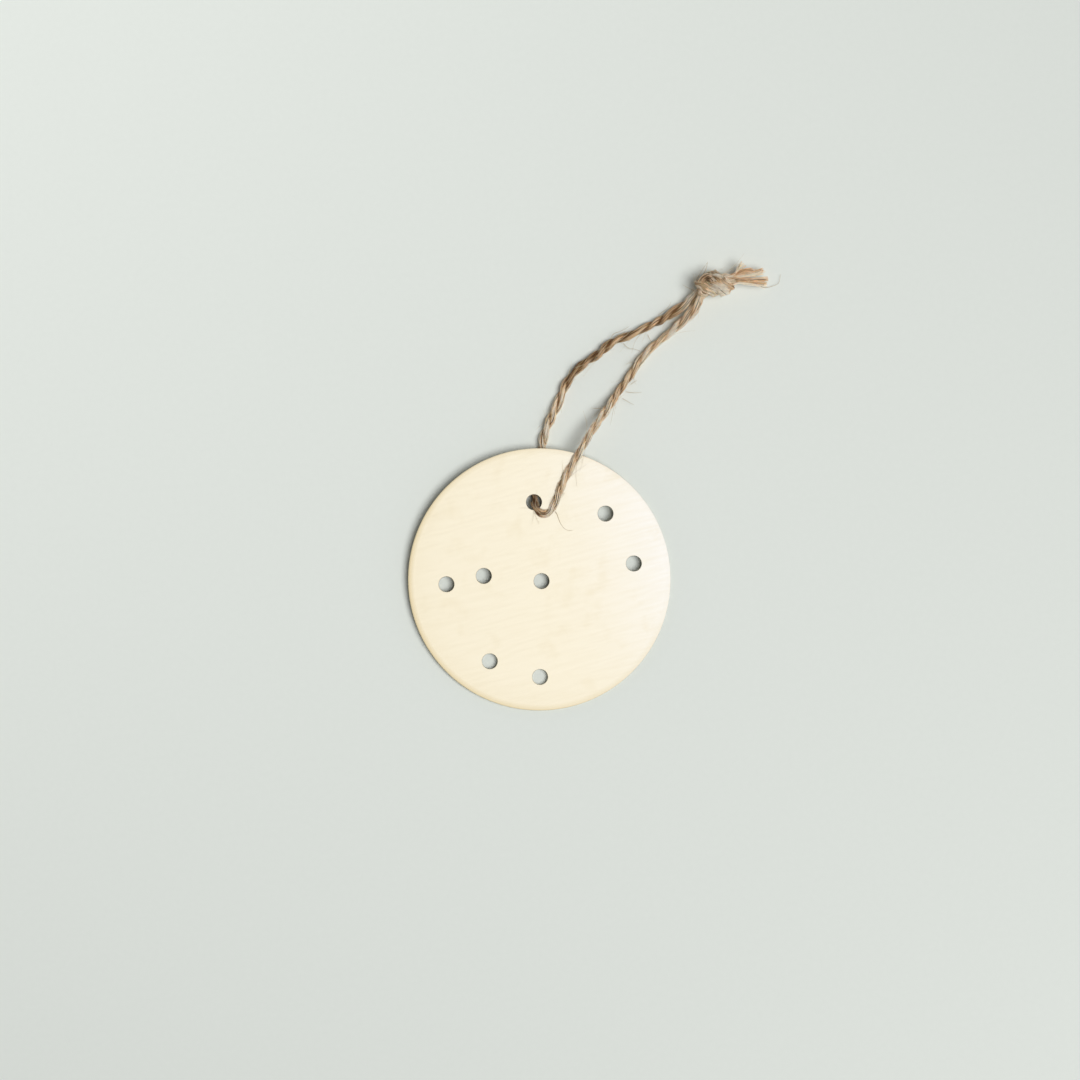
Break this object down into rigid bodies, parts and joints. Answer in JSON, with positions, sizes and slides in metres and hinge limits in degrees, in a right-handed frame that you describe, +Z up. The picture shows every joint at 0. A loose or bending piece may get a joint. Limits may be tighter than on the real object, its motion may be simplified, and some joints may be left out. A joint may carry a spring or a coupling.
{
  "type": "hanging brass disc ornament",
  "caption": "Thin round brass disc pierced by small holes in a star pattern, hung by a twine loop through a rim hole and closed by a doubled overhand knot.",
  "frame": {"origin": "on the surface that the ornament lies on, below the disc's centre", "axes": "+Z up from the surface, +Y from the disc's centre towards its hanging hole, +X to the right as the front face is seen"},
  "size_m": [0.0735, 0.0835, 0.0055],
  "materials": {
    "brass": "pale brushed brass",
    "jute": "rough two-ply natural jute twine"
  },
  "bodies": {
    "disc": {"brass_disc": "brass"},
    "loop": {"hanging_loop": "jute", "overhand_knot": "jute", "frayed_ends": "jute"}
  },
  "joints": [
    {"name": "loop_swing", "type": "hinge", "parent": "disc", "child": "loop", "pos_m": [0, 0.01497, 0.00199], "axis": [0, -0.0394, 0.9992], "range_deg": [-30, 115]}
  ]
}
